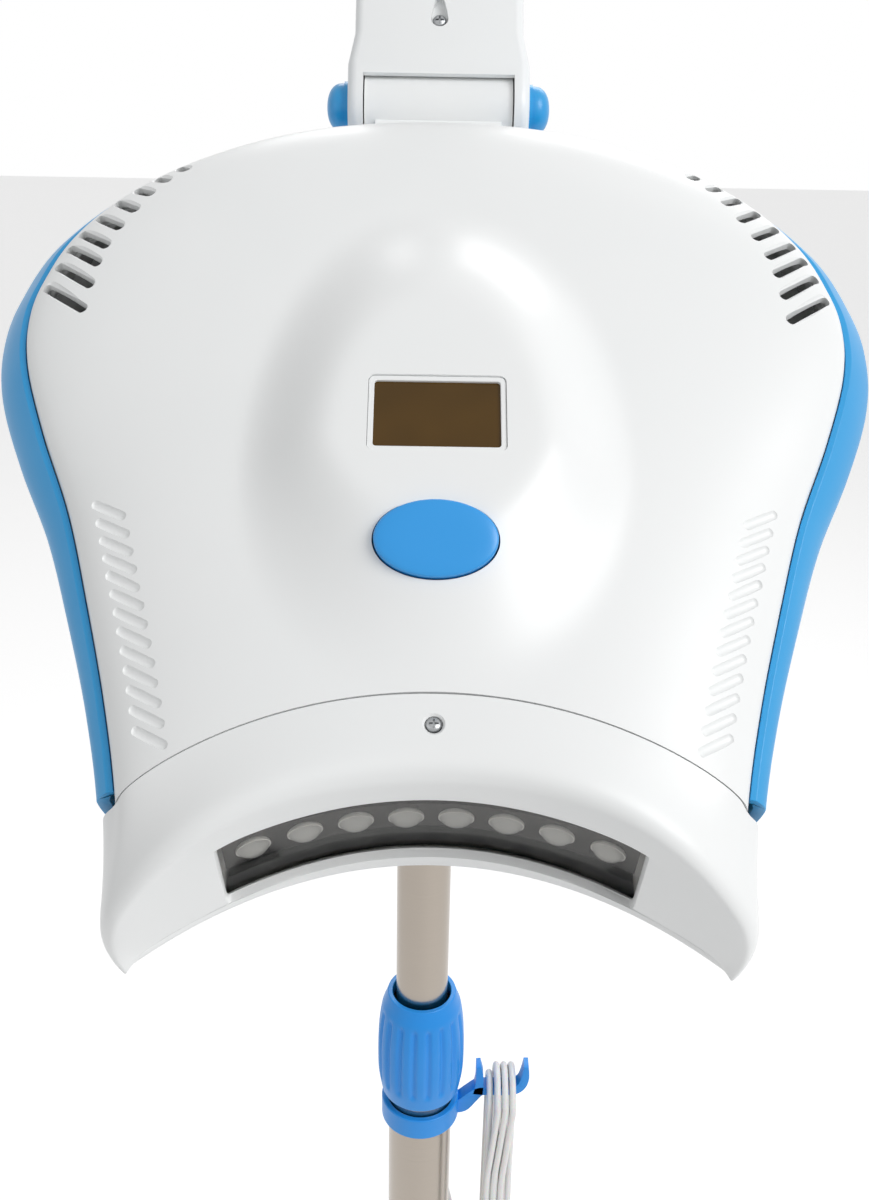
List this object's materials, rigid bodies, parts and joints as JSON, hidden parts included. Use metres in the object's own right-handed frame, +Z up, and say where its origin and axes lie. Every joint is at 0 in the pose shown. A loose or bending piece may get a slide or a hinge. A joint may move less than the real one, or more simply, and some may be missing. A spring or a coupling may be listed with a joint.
{
  "type": "teeth whitening lamp",
  "caption": "Chairside whitening lamp: a tilting white and blue head with a curved light outlet, on a folding arm, telescopic column and rolling star base.",
  "frame": {"origin": "on the floor under the column's axis", "axes": "+Z up the column, -Y towards the patient's side, where the head's light outlet points; +X is the side with the cable hook, the right side when facing the head's display from the front"},
  "size_m": [0.5494, 0.5723, 1.3288],
  "materials": {
    "white_plastic": "gloss white moulded plastic",
    "blue_plastic": "semi-gloss sky blue plastic",
    "black_plastic": "fine-grained black plastic",
    "grey_tread": "grey soft tread",
    "steel": "fine-brushed stainless steel",
    "cord_white": "soft white cord sheath",
    "circuit_board": "green solder mask",
    "clear_pane": "clear gloss pane",
    "clear_lens": "clear moulded lenses",
    "amber_pane": "dark amber gloss pane",
    "aluminium": "plain extruded aluminium"
  },
  "bodies": {
    "base": {"base_hub": "white_plastic", "base_leg_1": "white_plastic", "base_leg_2": "white_plastic", "base_leg_3": "white_plastic", "base_leg_4": "white_plastic", "base_leg_5": "white_plastic", "hub_cover": "white_plastic", "outer_tube": "steel", "collet": "black_plastic", "cable_hook": "blue_plastic", "cord_gland": "cord_white", "cord_lead": "cord_white", "cord_hank": "cord_white", "cord_tail": "cord_white", "cord_plug": "black_plastic"},
    "collar": {"lock_collar": "blue_plastic"},
    "caster_1": {"caster_fork_1": "black_plastic"},
    "caster_2": {"caster_fork_2": "black_plastic"},
    "caster_3": {"caster_fork_3": "black_plastic"},
    "caster_4": {"caster_fork_4": "black_plastic"},
    "caster_5": {"caster_fork_5": "black_plastic"},
    "wheel_1": {"caster_wheel_1": "grey_tread"},
    "wheel_2": {"caster_wheel_2": "grey_tread"},
    "wheel_3": {"caster_wheel_3": "grey_tread"},
    "wheel_4": {"caster_wheel_4": "grey_tread"},
    "wheel_5": {"caster_wheel_5": "grey_tread"},
    "mast": {"inner_tube": "steel", "tube_guide": "black_plastic", "swivel_spigot": "steel"},
    "swivel": {"swivel_fork": "white_plastic", "shoulder_bolt": "steel", "shoulder_cap_left": "blue_plastic", "shoulder_cap_right": "blue_plastic"},
    "arm_lower": {"lower_arm": "white_plastic", "lower_arm_cover": "white_plastic"},
    "arm_fore": {"fore_arm": "white_plastic", "fore_arm_cover": "white_plastic", "elbow_bolt": "steel", "elbow_cap_left": "blue_plastic", "elbow_cap_right": "blue_plastic", "tilt_bolt": "steel", "tilt_cap_left": "blue_plastic", "tilt_cap_right": "blue_plastic"},
    "head": {"upper_cover": "white_plastic", "lower_cover": "white_plastic", "nose_shroud": "white_plastic", "trim_band_left": "blue_plastic", "trim_band_right": "blue_plastic", "head_bracket": "white_plastic", "display_window": "amber_pane", "display_module": "black_plastic", "button_switch": "black_plastic", "control_board": "circuit_board", "fan_frame": "black_plastic", "heat_sink": "aluminium", "led_board": "circuit_board", "lens_bar": "clear_lens", "outlet_window": "clear_pane"},
    "press_button": {"button": "blue_plastic"},
    "fan": {"fan_rotor": "white_plastic"}
  },
  "joints": [
    {"name": "caster_swivel_1", "type": "hinge", "parent": "base", "child": "caster_1", "pos_m": [0, 0.2502, 0.048], "axis": [0, 0, 1], "continuous": true},
    {"name": "caster_swivel_2", "type": "hinge", "parent": "base", "child": "caster_2", "pos_m": [-0.23795, 0.07732, 0.048], "axis": [0, 0, 1], "continuous": true},
    {"name": "caster_swivel_3", "type": "hinge", "parent": "base", "child": "caster_3", "pos_m": [-0.14706, -0.20242, 0.048], "axis": [0, 0, 1], "continuous": true},
    {"name": "caster_swivel_4", "type": "hinge", "parent": "base", "child": "caster_4", "pos_m": [0.14706, -0.20242, 0.048], "axis": [0, 0, 1], "continuous": true},
    {"name": "caster_swivel_5", "type": "hinge", "parent": "base", "child": "caster_5", "pos_m": [0.23795, 0.07732, 0.048], "axis": [0, 0, 1], "continuous": true},
    {"name": "caster_wheel_1_roll", "type": "hinge", "parent": "caster_1", "child": "wheel_1", "pos_m": [0, 0.2622, 0.02173], "axis": [-1, 0, 0], "continuous": true},
    {"name": "caster_wheel_2_roll", "type": "hinge", "parent": "caster_2", "child": "wheel_2", "pos_m": [-0.24937, 0.08102, 0.02173], "axis": [-0.309, -0.9511, 0], "continuous": true},
    {"name": "caster_wheel_3_roll", "type": "hinge", "parent": "caster_3", "child": "wheel_3", "pos_m": [-0.15412, -0.21212, 0.02173], "axis": [0.809, -0.5878, 0], "continuous": true},
    {"name": "caster_wheel_4_roll", "type": "hinge", "parent": "caster_4", "child": "wheel_4", "pos_m": [0.15412, -0.21212, 0.02173], "axis": [0.809, 0.5878, 0], "continuous": true},
    {"name": "caster_wheel_5_roll", "type": "hinge", "parent": "caster_5", "child": "wheel_5", "pos_m": [0.24937, 0.08102, 0.02173], "axis": [-0.309, 0.9511, 0], "continuous": true},
    {"name": "collar_twist", "type": "hinge", "parent": "base", "child": "collar", "pos_m": [0, 0, 0.6901], "axis": [0, 0, 1], "range_deg": [0, 120]},
    {"name": "column_slide", "type": "slide", "parent": "base", "child": "mast", "axis": [0, 0, 1], "range_m": [-0.27, 0.15]},
    {"name": "arm_swivel", "type": "hinge", "parent": "mast", "child": "swivel", "pos_m": [0, 0, 1.1], "axis": [0, 0, 1], "range_deg": [-150, 150]},
    {"name": "shoulder_tilt", "type": "hinge", "parent": "swivel", "child": "arm_lower", "pos_m": [0, 0, 1.1], "axis": [-1, 0, 0], "range_deg": [-30, 20]},
    {"name": "elbow_tilt", "type": "hinge", "parent": "arm_lower", "child": "arm_fore", "pos_m": [0, 0.06013, 1.31682], "axis": [-1, 0, 0], "range_deg": [-5, 60]},
    {"name": "head_tilt", "type": "hinge", "parent": "arm_fore", "child": "head", "pos_m": [0, -0.07188, 1.13907], "axis": [1, 0, 0], "range_deg": [-45, 40]},
    {"name": "button_press", "type": "slide", "parent": "head", "child": "press_button", "axis": [0, 0.7924, -0.61], "range_m": [0, 0.0012], "stiffness_N_per_m": 800, "springref_m": -0.0006},
    {"name": "fan_spin", "type": "hinge", "parent": "head", "child": "fan", "pos_m": [0, -0.1372, 1.06946], "axis": [0, -0.5446, 0.8387], "continuous": true}
  ]
}
